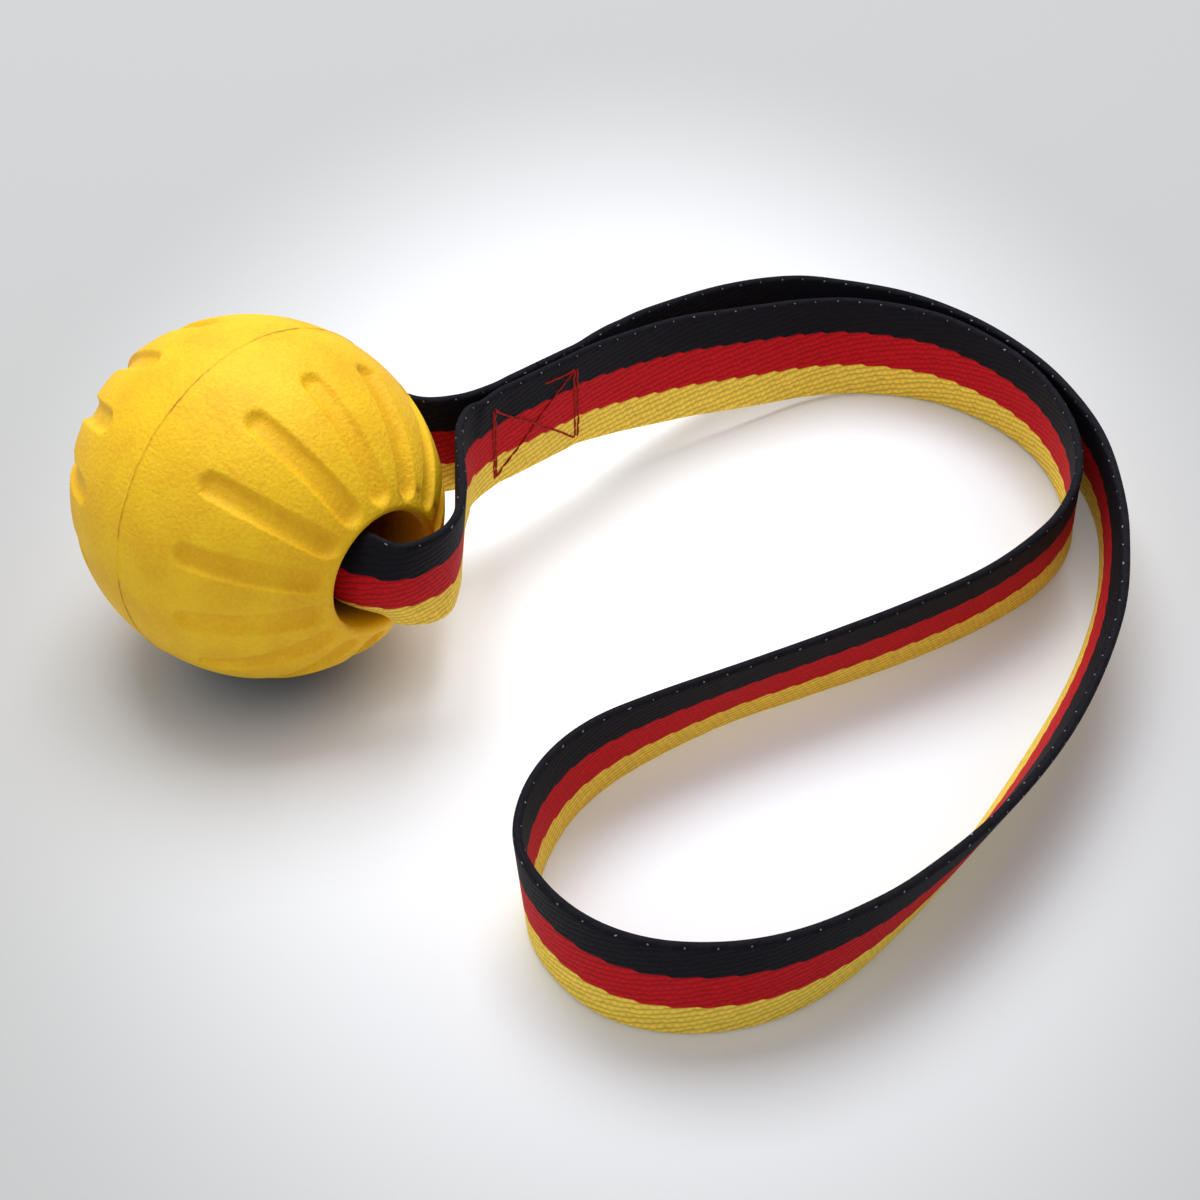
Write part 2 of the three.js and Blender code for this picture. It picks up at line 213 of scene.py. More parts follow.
# Softboxes: width and distance in metres, degrees round from the camera's side, degrees above the floor
SOFTBOXES = {
    "key": {"width": 1, "distance": 1.4, "turn": 190, "height": 70},
    "fill": {"width": 0.8, "distance": 1.4, "turn": -50, "height": 35},
}

# Sockets of a node that mixes colours: share of the second colour, the two colours, and the result
SHARE, FIRST, SECOND, MIXED = 0, 6, 7, 2


def linear(colour):
    """sRGB hex to linear RGBA."""
    channels = [int(colour[i:i + 2], 16) / 255 for i in (1, 3, 5)]
    return tuple(c / 12.92 if c <= 0.04045 else ((c + 0.055) / 1.055) ** 2.4 for c in channels) + (1.0,)


def colour_property(name, description, colour):
    return FloatVectorProperty(
        name=name, description=description, default=linear(colour), size=4, min=0, max=1, subtype="COLOR")


def length_property(name, description, millimetres):
    return FloatProperty(
        name=name, description=description, default=millimetres * MM, min=0, precision=5, unit="LENGTH")


class FoamSettings(bpy.types.PropertyGroup):
    """Moulded foam ball"""
    groove_width: length_property("Groove width", "Width of each pressed groove", 5.2)
    groove_depth: length_property("Groove depth", "Depth in the middle of a groove", 1.3)
    pebble: length_property("Pebble", "Size of the pebbles in the moulded skin", 0.75)
    skin: colour_property("Skin", "Foam where it is clean", "#f5c716")
    # the darker foam that the clouds mix in at random, and that stands in as painted shade in the grooves
    # and the pebbles' dips
    shade: colour_property("Shade", "Foam in the hollows of its skin", "#e8b010")
    parting: colour_property("Parting line", "Grime along the mould's parting line", "#a8740c")
    # painted shade: the foam's colour deep in the bore, where shade falls, and in the dark spots by the
    # mouth
    bore: colour_property("Bore", "Foam deep in the bore", "#8a5208")


class WebbingSettings(bpy.types.PropertyGroup):
    """Striped woven tape"""
    gold_top: length_property("Gold band", "From the lower edge to the top of the gold band", 8.0)
    red_top: length_property("Red band", "From the lower edge to the top of the red band", 16.6)
    tooth: length_property("Tooth", "How far the bands' borders climb before they fall back", 0.7)
    rib_pitch: length_property("Rib pitch", "From one twill rib to the next, across the tape", 1.38)
    rib_repeat: length_property("Rib repeat", "From one twill rib to the next, along the tape", 5.5)
    gold: colour_property("Gold", "Gold yarn", "#ffda54")
    red: colour_property("Red", "Red yarn", "#c8101c")
    black: colour_property("Black", "Black yarn", "#12111a")
    # painted highlight: pale glints on the weft loops at the black edge
    weft: colour_property("Weft", "Pale weft that shows at the black edge", "#84858d")
    knot: colour_property("Knot", "Dark weft that shows at the gold edge", "#6b4a3a")


class SewingSettings(bpy.types.PropertyGroup):
    """Box seam"""
    thread: length_property("Thread", "Diameter of the sewing thread", 0.5)
    stitch: length_property("Stitch", "Length of one stitch", 2.7)
    seed: IntProperty(name="Seed", description="Seed of the stitches' small wander", default=4, min=0)
    colour: colour_property("Thread colour", "Polyester thread", "#ad1913")
    # painted shade in the furrows between the thread's plies
    ply_furrow_shade: colour_property("Furrow", "Between the thread's plies", "#80110d")


class StageSettings(bpy.types.PropertyGroup):
    """Floor and lights"""
    floor: colour_property("Floor", "Pale floor in the pool of light", "#f4f8ff")
    rim: colour_property("Rim", "Pale floor outside the pool of light", "#b3b4b5")
    shade: colour_property("Shade", "Floor in the ball's own shade", "#8b97ab")
    pool: length_property("Pool", "Radius of the pool of light", 152)
    glow: FloatProperty(name="Glow", description="Light of the pool itself", default=0.18, min=0)
    key: FloatProperty(name="Key", description="Softbox behind and above", default=20, min=0, unit="POWER")
    fill: FloatProperty(name="Fill", description="Softbox at the left", default=2.1, min=0, unit="POWER")
    sky: FloatProperty(name="Sky", description="Strength of the even light all round", default=0.5, min=0)


def add_node(tree, kind, inputs=None, output=0, **settings):
    """Adds a node with its settings and gives an output; an input is a value or the output that feeds it."""
    node = tree.nodes.new(kind)
    for name, value in settings.items():
        setattr(node, name, value)
    for name, value in (inputs or {}).items():
        if isinstance(value, bpy.types.NodeSocket):
            tree.links.new(value, node.inputs[name])
        else:
            node.inputs[name].default_value = value
    return node.outputs[output]


def start_material(name, **values):
    """A new material, with values on its shader's sockets, and the function that adds its nodes."""
    material = bpy.data.materials.new(name)
    material.use_nodes = True
    shader = material.node_tree.nodes["Principled BSDF"]
    for socket, value in values.items():
        shader.inputs[socket.replace("_", " ")].default_value = value
    return material, functools.partial(add_node, material.node_tree)


def finish_material(material, **outputs):
    """Feeds outputs of a material's nodes to its shader's sockets."""
    tree = material.node_tree
    for socket, output in outputs.items():
        tree.links.new(output, tree.nodes["Principled BSDF"].inputs[socket.replace("_", " ")])
    return material


def foam_material(settings):
    """Moulded closed-cell foam: matt and pebbled, with painted shade in its grooves, its pebbles' dips and
    deep in its bore, a few dark spots by its mouth, and grime on its parting line.
    """
    material, add = start_material("moulded_foam", Roughness=0.6, Specular_IOR_Level=0.3)
    place = add("ShaderNodeTexCoord", output="Object")
    pebble = add("ShaderNodeTexNoise", {"Vector": place, "Scale": 1 / settings.pebble, "Detail": 1}, "Fac")
    cloud = add("ShaderNodeTexNoise", {"Vector": place, "Scale": 1 / (CLOUD_SIZE * MM), "Detail": 3}, "Fac")
    hollow, parting, bore = (add("ShaderNodeAttribute", output="Fac", attribute_name=name)
                             for name in ("hollow", "parting", "bore"))
    # painted shade: the colour darkens in the grooves and the pebbles' dips, on top of the clouds' random
    # tone
    tone_and_painted_shade = add("ShaderNodeMath", {0: hollow, 1: GROOVE_SHADE, 2: cloud}, operation="MULTIPLY_ADD")
    tone_and_painted_shade = add("ShaderNodeMath", {0: pebble, 1: PEBBLE_SHADE, 2: tone_and_painted_shade}, operation="MULTIPLY_ADD")
    tone_and_painted_shade = add("ShaderNodeMapRange", {"Value": tone_and_painted_shade, "From Min": -0.1, "From Max": 0.6},
              interpolation_type="SMOOTHSTEP")
    # the clouds break the parting line's grime up
    worn = add("ShaderNodeMapRange", {"Value": cloud, "From Min": 0.35, "From Max": 0.6},
               interpolation_type="SMOOTHSTEP")
    darkening = add("ShaderNodeMath", {0: parting, 1: worn}, operation="MULTIPLY")
    colour = settings.skin
    # the bore's mark is painted shade deep in the bore, with a few dark spots by the mouth
    for share, darker_colour in ((tone_and_painted_shade, settings.shade), (darkening, settings.parting), (bore, settings.bore)):
        colour = add("ShaderNodeMix", {SHARE: share, FIRST: colour, SECOND: darker_colour}, MIXED, data_type="RGBA")
    bumps = add("ShaderNodeBump", {"Height": pebble, "Strength": 0.6, "Distance": PEBBLE_HEIGHT * MM})
    return finish_material(material, Base_Color=colour, Normal=bumps)


def half_waves(add, place):
    """Height that rises and falls once from each whole number to the next."""
    share = add("ShaderNodeMath", {0: place}, operation="FRACT")
    turn = add("ShaderNodeMath", {0: share, 1: math.pi}, operation="MULTIPLY")
    return add("ShaderNodeMath", {0: turn}, operation="SINE")


def webbing_material(settings):
    """Polypropylene tape, twill-woven: three bands of yarn whose borders step with the twill's ribs."""
    material, add = start_material("twill_webbing", Roughness=0.75, Specular_IOR_Level=0.12)
    repeat, tooth = settings.rib_repeat / MM, settings.tooth / MM
    tape = add("ShaderNodeUVMap", output="UV", uv_map="tape")
    run, across = (add("ShaderNodeSeparateXYZ", {"Vector": tape}, axis) for axis in "XY")
    along = add("ShaderNodeMath", {0: run, 1: repeat}, operation="DIVIDE")
    uneven = add("ShaderNodeTexNoise", {"Vector": tape, "Scale": WEAVE_NOISE, "Detail": 1}, "Fac")

    # a place between ribs, with whole numbers in the valleys, and one between the yarns across a rib
    rib = add("ShaderNodeMath", {0: across, 1: settings.rib_pitch / MM}, operation="DIVIDE")
    rib = add("ShaderNodeMath", {0: rib, 1: along}, operation="SUBTRACT")
    rib = add("ShaderNodeMath", {0: uneven, 1: RIB_STRAY, 2: rib}, operation="MULTIPLY_ADD")
    yarn = add("ShaderNodeMath", {0: rib}, operation="FLOOR")
    yarn = add("ShaderNodeMath", {0: yarn, 1: YARN_SHIFT}, operation="MULTIPLY")
    yarn = add("ShaderNodeMath", {0: along, 1: RIB_YARNS, 2: yarn}, operation="MULTIPLY_ADD")
    ridge = add("ShaderNodeMath", {0: half_waves(add, rib), 1: RIB_ROUNDNESS}, operation="POWER")
    dip = add("ShaderNodeMath", {0: half_waves(add, yarn), 1: YARN_DIP, 2: 1 - YARN_DIP},
              operation="MULTIPLY_ADD")
    height = add("ShaderNodeMath", {0: ridge, 1: dip}, operation="MULTIPLY")

    # the bands' borders climb with the ribs and fall back once in each repeat
    share = add("ShaderNodeMath", {0: along}, operation="FRACT")
    climb = add("ShaderNodeMapRange", {"Value": share, "From Min": TOOTH_FALL, "To Min": tooth, "To Max": 0},
                interpolation_type="SMOOTHSTEP")
    climb = add("ShaderNodeMath", {0: share, 1: climb}, operation="MULTIPLY")
    level = add("ShaderNodeMath", {0: across, 1: climb}, operation="SUBTRACT")
    colour = settings.gold
    for top, upper in ((settings.gold_top / MM, settings.red), (settings.red_top / MM, settings.black)):
        border = add("ShaderNodeMapRange", {
            "Value": level, "From Min": top - BORDER_BELOW, "From Max": top + BORDER_ABOVE},
            interpolation_type="SMOOTHSTEP")
        colour = add("ShaderNodeMix", {SHARE: border, FIRST: colour, SECOND: upper}, MIXED, data_type="RGBA")
    light = add("ShaderNodeMath", {0: uneven, 1: UNEVEN_LIGHT, 2: VALLEY_LIGHT}, operation="MULTIPLY_ADD")
    light = add("ShaderNodeMath", {0: height, 1: RIB_LIGHT, 2: light}, operation="MULTIPLY_ADD")
    colour = add("ShaderNodeVectorMath", {0: colour, 1: light}, "Vector", operation="MULTIPLY")

    # a speck at each edge, about once in each repeat: a painted highlight on the weft loops at the black
    # edge, dark weft at the gold edge
    beside = add("ShaderNodeMath", {0: uneven, 1: SPECK_STRAY, 2: along}, operation="MULTIPLY_ADD")
    beside = add("ShaderNodeMath", {0: beside}, operation="FRACT")
    beside = add("ShaderNodeMath", {0: beside, 1: 0.5}, operation="SUBTRACT")
    beside = add("ShaderNodeMath", {0: beside, 1: repeat / SPECK_STRETCH}, operation="MULTIPLY")
    above = add("ShaderNodeMath", {0: uneven, 1: 0.5}, operation="SUBTRACT")
    above = add("ShaderNodeMath", {0: above, 1: SPECK_STRAY, 2: across}, operation="MULTIPLY_ADD")
    for edge, weft in ((STRAP_WIDTH - SPECK_INSET, settings.weft), (SPECK_INSET, settings.knot)):
        off = add("ShaderNodeMath", {0: above, 1: edge}, operation="SUBTRACT")
        off = add("ShaderNodeCombineXYZ", {"X": beside, "Y": off})
        off = add("ShaderNodeVectorMath", {0: off}, "Value", operation="LENGTH")
        speck = add("ShaderNodeMapRange", {"Value": off, "From Min": SPECK_RADIUS, "From Max": SPECK_CORE},
                    interpolation_type="SMOOTHSTEP")
        colour = add("ShaderNodeMix", {SHARE: speck, FIRST: colour, SECOND: weft}, MIXED, data_type="RGBA")
    bumps = add("ShaderNodeBump", {"Height": height, "Strength": 0.5, "Distance": RIB_HEIGHT * MM})
    return finish_material(material, Base_Color=colour, Normal=bumps)


def thread_material(settings):
    """Polyester sewing thread, twisted: fine slanted plies, painted shade between them, and a slight gloss.
    """
    material, add = start_material("twisted_thread", Roughness=0.7, Specular_IOR_Level=0.2)
    place = add("ShaderNodeTexCoord", output="Object")
    plies = add("ShaderNodeTexWave", {
        "Vector": place, "Scale": SLANTED_BAND / (PLY_PITCH * settings.thread), "Distortion": 0.4},
        "Fac", bands_direction="DIAGONAL")
    # painted shade: a darker colour in the furrows between the plies
    colour = add("ShaderNodeMix", {SHARE: plies, FIRST: settings.ply_furrow_shade, SECOND: settings.colour}, MIXED,
                 data_type="RGBA")
    bumps = add("ShaderNodeBump", {"Height": plies, "Strength": 0.4, "Distance": PLY_HEIGHT * MM})
    return finish_material(material, Base_Color=colour, Normal=bumps)


def floor_material(settings):
    """Painted board: pale, brightest in its pool of light and grey where the ball shades it."""
    material, add = start_material("pale_floor", Roughness=0.8, Specular_IOR_Level=0.1)
    place = add("ShaderNodeTexCoord", output="Object")
    pool = add("ShaderNodeMapping", {
        "Vector": place, "Location": POOL_AT, "Rotation": (0, 0, math.radians(POOL_TURN)),
        "Scale": (settings.pool, settings.pool * POOL_STRETCH, 1)}, vector_type="TEXTURE")
    reach = add("ShaderNodeVectorMath", {0: pool}, "Value", operation="LENGTH")
    away = add("ShaderNodeVectorMath", {0: place, 1: SHADE_AT}, "Value", operation="DISTANCE")
    inner = add("ShaderNodeMapRange", {"Value": reach, "From Min": 1, "From Max": 0},
                interpolation_type="SMOOTHSTEP")
    clear = add("ShaderNodeMapRange", {"Value": away, "From Min": SHADE_CORE, "From Max": SHADE_REACH},
                interpolation_type="SMOOTHSTEP")
    colour = add("ShaderNodeMix", {SHARE: inner, FIRST: settings.rim, SECOND: settings.floor}, MIXED,
                 data_type="RGBA")
    colour = add("ShaderNodeMix", {SHARE: clear, FIRST: settings.shade, SECOND: colour}, MIXED,
                 data_type="RGBA")
    glow = add("ShaderNodeMath", {0: inner, 1: clear}, operation="MULTIPLY")
    glow = add("ShaderNodeMath", {0: glow, 1: settings.glow}, operation="MULTIPLY")
    return finish_material(material, Base_Color=colour, Emission_Strength=glow)


# Route of the webbing's middle line, half-way up the tape. Each row of the finished
# route is x, y, height above the floor, lean of the webbing from upright (degrees,
# with its top to the left of the way it runs) and cup (degrees that it curls through
# from its lower to its upper edge), in millimetres.


def round_ball(rows):
    """Rows round the ball: degrees from +X, distance off the skin, drop below the bore, lean, cup."""
    route = []
    for turn, off, drop, lean, cup in rows:
        c, s = math.cos(math.radians(turn)), math.sin(math.radians(turn))
        reach = off + 1 / math.hypot(c / BALL_POLE, s / BALL_RADIUS)
        route.append((reach * c, reach * s, BORE_HEIGHT - drop, lean, cup))
    return route


def through_bore(places):
    """Rows through the bore, where the webbing lies as an arc of the bore's own curve."""
    radius = BORE_RADIUS - BORE_CLEARANCE - STRAP_THICKNESS / 2
    lean = math.radians(BORE_LEAN)
    y = BORE_SHIFT - radius * math.cos(lean)
    z = BORE_HEIGHT + radius * math.sin(lean)
    return [(x, y, z, BORE_LEAN, math.degrees(STRAP_WIDTH / radius)) for x in places]


def beside_ball(rows):
    """Rows free of the ball: x, distance from the ball's side, height of the lower corner, lean."""
    route = []
    for x, side, height, lean in rows:
        upright, slant = math.cos(math.radians(lean)), abs(math.sin(math.radians(lean)))
        rise = FLOOR_CLEARANCE + STRAP_WIDTH / 2 * upright + STRAP_THICKNESS / 2 * slant
        route.append((x, BALL_RADIUS + side, height + rise, lean, 0))
    return route


def seam_layer(shift, lean, sides):
    """Rows of one of the seam's two straight layers."""
    rows = []
    for out in (side - SEAM_FROM for side in sides):
        rows.append((SEAM_X + SEAM_VEER * out + shift, SEAM_FROM + out, SEAM_RISE - SEAM_FALL * out, lean))
    return beside_ball(rows)


BACK_LAYER_END = [
    *seam_layer(-LAYER_PITCH, SEAM_LEAN, (BUTT_SIDE, 24, 18)),
    *seam_layer(-LAYER_PITCH - NECK_SPREAD, SEAM_LEAN, (NECK_SIDE,)),
]
BACK_LEG = [
    *beside_ball([(5, 5.2, 15.6, 4)]),
    *round_ball([
        (94, 3.5, 7, 4, 0),
        (106, 2.9, 6.9, 4, 0),
        (121, 2.5, 6.2, 3, 0),
        (136, 2.2, 6, 2, 0),
        (151, 2.2, 5.4, 2, 0),
        (164, 2.8, 4.4, 2, 0),
        (173, 2.9, 2.4, -2, 13),
        (182, 2.3, 0.5, -3, 75),
        (187, -1.4, 1, -11, 109),
    ]),
]
IN_BORE = through_bore((-BALL_POLE + MOUTH_INSET, -BALL_POLE + 2 * MOUTH_INSET,
                        BALL_POLE - 2 * MOUTH_INSET, BALL_POLE - MOUTH_INSET))
FRONT_LEG = [
    *round_ball([
        (-8, -1, 0.9, -11, 98),
        (-2, 3, 0.9, -15, 36),
        (6, 5.3, 0.7, -12, 6),
        (15, 5.8, 1, -7, 0),
        (27, 3.9, 1.7, -5, 0),
        (43, 2.7, 3.1, -3, 0),
        (59, 4.8, 4.8, -1, 0),
    ]),
    *beside_ball([(16.2, 6.2, 16.2, -1)]),
]
FRONT_LAYER = [
    *seam_layer(NECK_SPREAD, -SEAM_LEAN, (NECK_SIDE,)),
    *seam_layer(0, -SEAM_LEAN, (18, 23, 28, 33, 38, 43)),
]
INNER_RUN = beside_ball([
    (15, 50, 11.7, -2.5),
    (16.2, 58.4, 10.2, 0.5),
    (17.5, 65.6, 8.8, 3.4),
    (19.1, 72.6, 7.48, 4.4),
    (20.9, 78.6, 6.22, 4.4),
    (22.7, 84.6, 4.96, 4.4),
    (24.5, 90.6, 3.7, 4.4),
    (28.2, 101, 1.8, 3.5),
    (34, 110.3, 0.5, 1.5),
    (42.4, 116.8, 0, -2),
    (52.7, 120.8, 0, -5.5),
    (65, 121.3, 0, -8),
    (76.7, 118.9, 0, -8.5),
    (86.3, 114.2, 0, -7.5),
    (95, 107.5, 0, -5),
    (101.4, 100.3, 0, -2),
    (106.2, 92, 0, 2.5),
])
MIDDLE_RUN = beside_ball([
    (109.1, 82, 0, 8),
    (109.8, 71.7, 0, 13),
    (107.8, 55.8, 0, 18),
    (102.8, 38.3, 0, 20),
    (96.1, 20.1, 0, 22),
    (89.5, 2.6, 0, 22.5),
    (84, -17.4, 0, 16.5),
    (82.4, -31.3, 0, 8.5),
    (84.2, -43, 0, 1.5),
    (88.9, -53.4, 0, -3),
    (96.2, -61.7, 0, -5.5),
])
FRONT_RUN = beside_ball([
    (106.2, -66, 0, -6),
    (117.1, -66.8, 0, -5.5),
    (127.2, -63.4, 0, -6),
    (136, -56.1, 0, -7),
    (142.2, -46.8, 0, -9),
    (146, -35.2, 0, -12.5),
    (147.7, -20.8, 0, -18),
    (147, 2.9, 0, -24),
    (142.4, 30.2, 0, -26),
    (134.3, 58.2, 0, -19),
    (124.2, 79.6, 0, -8),
    (114.6, 94.4, 0, 0),
    (104.3, 106.4, 0, 6),
])
OUTER_RUN = beside_ball([
    (93.1, 115, 0, 9.5),
    (80.1, 121.3, 0, 10),
    (65.8, 124.8, 0, 9.5),
    (52.3, 125.2, 0, 8),
    (39.9, 122.3, 0.3, 6),
    (27.7, 114.9, 1.2, 4),
    (19.6, 105.6, 2.9, 3),
    (14, 89, 5.9, 2.5),
    (11.4, 68, 9.4, 3),
    (11.3, 55.8, 11.3, 4),
    (11.7, 49, 12.4, 4.5),
])
BACK_LAYER_START = seam_layer(-LAYER_PITCH, SEAM_LEAN, (43, 38, 34, BUTT_SIDE))

RUNS = [
    BACK_LAYER_END, BACK_LEG, IN_BORE, FRONT_LEG, FRONT_LAYER,
    INNER_RUN, MIDDLE_RUN, FRONT_RUN, OUTER_RUN, BACK_LAYER_START,
]
ROUTE = np.array([row for run in RUNS for row in run], float)
LAST = len(ROUTE) - 1


def row_of(run):
    """Row of the route where a run starts."""
    row = 0
    for other in RUNS:
        if other is run:
            break
        row += len(other)
    return row


# Rows of the route where the necks and the seam's layers start and end
NECK_BACK = (row_of(BACK_LEG) - 1, row_of(BACK_LEG))
NECK_FRONT = (row_of(FRONT_LAYER) - 1, row_of(FRONT_LAYER))
SEAM_FRONT = (row_of(FRONT_LAYER), row_of(INNER_RUN))
SEAM_BACK = (row_of(BACK_LAYER_START) - 1, LAST)


def route_at(places):
    """The route's rows at places between its rows, on one smooth curve."""
    places = np.asarray(places, float)
    rows = np.vstack([2 * ROUTE[0] - ROUTE[1], ROUTE, 2 * ROUTE[-1] - ROUTE[-2]])
    first = np.clip(np.floor(places).astype(int), 0, LAST - 1)
    t = (places - first)[:, None]
    before, start, end, after = (rows[first + k] for k in range(4))
    leave, arrive = (end - before) / 2, (after - start) / 2
    return (start * (2 * t**3 - 3 * t**2 + 1) + end * (3 * t**2 - 2 * t**3)
            + leave * (t**3 - 2 * t**2 + t) + arrive * (t**3 - t**2))


def centre_line(places):
    """Points half-way up the webbing."""
    return route_at(places)[:, :3]


def place_at_side(side, first, last):
    """Place of the route, between two others, that lies a given way from the ball's side."""
    places = np.linspace(first, last, PLACE_STEPS)
    return places[np.abs(centre_line(places)[:, 1] - BALL_RADIUS - side).argmin()]


def tape_lengths():
    """Places of the route, close together, and the length of tape to each, in millimetres."""
    places = np.linspace(0, LAST, ROW_STEPS * LAST + 1)
    steps = np.linalg.norm(np.diff(centre_line(places), axis=0), axis=1)
    return places, np.concatenate([[0], np.cumsum(steps)])


TAPE_PLACES, TAPE_LENGTHS = tape_lengths()


def unit(vectors):
    return vectors / np.linalg.norm(vectors, axis=-1, keepdims=True)


def sections(places, levels):
    """Points across the webbing's middle surface at places of the route, and the normals of its right face.

    levels are heights above the lower edge, in millimetres, from 0 up."""
    places = np.asarray(places, float)
    here = route_at(places)
    ahead = centre_line(np.minimum(places + NUDGE, LAST))
    tangent = unit(ahead - centre_line(np.maximum(places - NUDGE, 0)))
    up = np.array([0.0, 0.0, 1.0])
    left = unit(np.cross(up, tangent))

    def direction(level):
        angle = np.radians(here[:, 3] + here[:, 4] * (level / STRAP_WIDTH - 0.5))[:, None]
        lean = up * np.cos(angle) + left * np.sin(angle)
        return unit(lean - tangent * (lean * tangent).sum(1, keepdims=True))

    grid = np.linspace(0, STRAP_WIDTH, 2 * CUP_STEPS + 1)
    rise = np.stack([direction((low + high) / 2) * (high - low) for low, high in zip(grid, grid[1:])], 1)
    rise = np.cumsum(np.concatenate([np.zeros_like(rise[:, :1]), rise], 1), 1)
    rise -= rise[:, CUP_STEPS:CUP_STEPS + 1]
    below = np.minimum((levels / grid[1]).astype(int), 2 * CUP_STEPS - 1)
    share = (levels / grid[1] - below)[None, :, None]
    points = here[:, None, :3] + rise[:, below] * (1 - share) + rise[:, below + 1] * share
    normals = np.stack([np.cross(tangent, direction(level)) for level in levels], 1)
    return points, normals


def tape_levels():
    """Heights across the webbing: close together where its edges are round."""
    turn = np.linspace(0, math.pi / 2, SELVEDGE_STEPS + 1)[:-1]
    low = SELVEDGE * (1 - np.cos(turn))
    flat = np.linspace(SELVEDGE, STRAP_WIDTH - SELVEDGE, FLAT_STEPS)
    return np.concatenate([low, flat, STRAP_WIDTH - low[::-1]])


def tape_rings(places):
    """Rings of points round the webbing, up its right face and down its left one, and their heights."""
    levels = tape_levels()
    middle, normals = sections(places, levels)
    inset = np.minimum(np.minimum(levels, STRAP_WIDTH - levels) / SELVEDGE, 1)
    half = (STRAP_THICKNESS / 2 * np.sqrt(1 - (1 - inset) ** 2))[None, :, None]
    right = middle + normals * half
    left = (middle - normals * half)[:, -2:0:-1]
    return np.concatenate([right, left], 1), np.concatenate([levels, levels[-2:0:-1]])


def new_piece(name, vertices, faces, material):
    """A mesh object at the origin, from points in millimetres."""
    mesh = bpy.data.meshes.new(name)
    mesh.from_pydata((np.asarray(vertices) * MM).tolist(), [], faces)
    mesh.materials.append(material)
    mesh.shade_smooth()
    mesh.set_sharp_from_angle(angle=math.radians(SHARP_ANGLE))
    piece = bpy.data.objects.new(name, mesh)
    bpy.context.scene.collection.objects.link(piece)
    return piece


def webbing_piece(name, first, last, material):
    """One stretch of the tape between two places of the route, closed, with round edges, and its path."""
    start, end = np.interp([first, last], TAPE_PLACES, TAPE_LENGTHS)
    lengths = np.linspace(start, end, max(3, round((end - start) / RING_STEP)))
    places = np.interp(lengths, TAPE_LENGTHS, TAPE_PLACES)
    rings, heights = tape_rings(places)
    ring = len(heights)
    faces = []
    tape = []
    for i in range(len(lengths) - 1):
        for k in range(ring):
            after = (k + 1) % ring
            faces.append((i * ring + k, (i + 1) * ring + k, (i + 1) * ring + after, i * ring + after))
            # each face of the tape is read the right way round from its own side
            side = 1 if k < ring // 2 else -1
            tape += [(side * lengths[i], heights[k]), (side * lengths[i + 1], heights[k]),
                     (side * lengths[i + 1], heights[after]), (side * lengths[i], heights[after])]
    end_ring = (len(lengths) - 1) * ring
    faces.append(tuple(range(ring)))
    faces.append(tuple(end_ring + k for k in reversed(range(ring))))
    tape += [(start, height) for height in heights]
    tape += [(end, height) for height in heights[::-1]]
    piece = new_piece(name, rings.reshape(-1, 3), faces, material)
    layer = piece.data.uv_layers.new(name="tape")
    layer.uv.foreach_set("vector", np.array(tape, np.float32).ravel())
    return piece, [tuple(point) for point in centre_line(places) * MM]


def aimed(context, data, azimuth, elevation, distance):
    """A camera or light aimed at the middle of the picture: degrees round from -Y and above the floor."""
    turn, rise = math.radians(azimuth), math.radians(elevation)
    away = Vector((math.sin(turn) * math.cos(rise), -math.cos(turn) * math.cos(rise), math.sin(rise)))
    aimer = bpy.data.objects.new(data.name, data)
    aimer.location = LOOK_AT + distance * away
    aimer.rotation_euler = away.to_track_quat("Z", "Y").to_euler()
    context.scene.collection.objects.link(aimer)
    return aimer


class TUGBALL_OT_camera(bpy.types.Operator):
    """Adds the camera at the height and side that the ball is looked at from"""
    bl_idname = "tug_ball.camera"
    bl_label = "Camera"

    def execute(self, context):
        data = bpy.data.cameras.new("camera")
        data.angle = math.radians(CAMERA_VIEW)
        context.scene.camera = aimed(context, data, CAMERA_AZIMUTH, CAMERA_ELEVATION, CAMERA_DISTANCE)
        return {"FINISHED"}


class TUGBALL_OT_webbing(bpy.types.Operator):
    """Adds the striped webbing: the ball's loop, the two layers that bend at the neck, and the hand loop"""
    bl_idname = "tug_ball.webbing"
    bl_label = "Webbing"

    def execute(self, context):
        material = webbing_material(context.scene.tug_webbing)
        tail = place_at_side(BUTT_SIDE - BUTT_GAP / 2, 0, NECK_BACK[0])
        butt = place_at_side(BUTT_SIDE + BUTT_GAP / 2, LAST - 1, LAST)
        leaves = place_at_side(SEAM_END, *SEAM_FRONT)
        returns = place_at_side(SEAM_END, *SEAM_BACK)
        loop, loop_path = webbing_piece("webbing_ball_loop", NECK_BACK[1], NECK_FRONT[0], material)
        handle, handle_path = webbing_piece("webbing_handle", leaves, returns, material)
        layers = [webbing_piece(name, first, last, material)[0] for name, first, last in (
            ("webbing_seam_front", NECK_FRONT[1], leaves),
            ("webbing_seam_back", returns, butt),
            ("webbing_sewn_end", tail, NECK_BACK[0]),
        )]
        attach(loop, "ball_loop")
        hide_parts("strap_ball_loop")
        for piece in (handle, *layers):
            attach(piece, "handle")
        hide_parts("strap_handle")
        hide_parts("strap_sewn_end")
        for name, node, places in (("webbing_neck_back", "strap_neck_back", NECK_BACK[::-1]),
                                   ("webbing_neck_front", "strap_neck_front", NECK_FRONT)):
            neck, _ = webbing_piece(name, min(places), max(places), material)
            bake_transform(neck)
            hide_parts(node)
        return {"FINISHED"}


def skin_normal(angle):
    """Outward direction at an angle of the skin's ellipse from the pole: along the bore and away from it."""
    along, out = math.cos(angle) / BALL_POLE, math.sin(angle) / BALL_RADIUS
    return along / math.hypot(along, out), out / math.hypot(along, out)


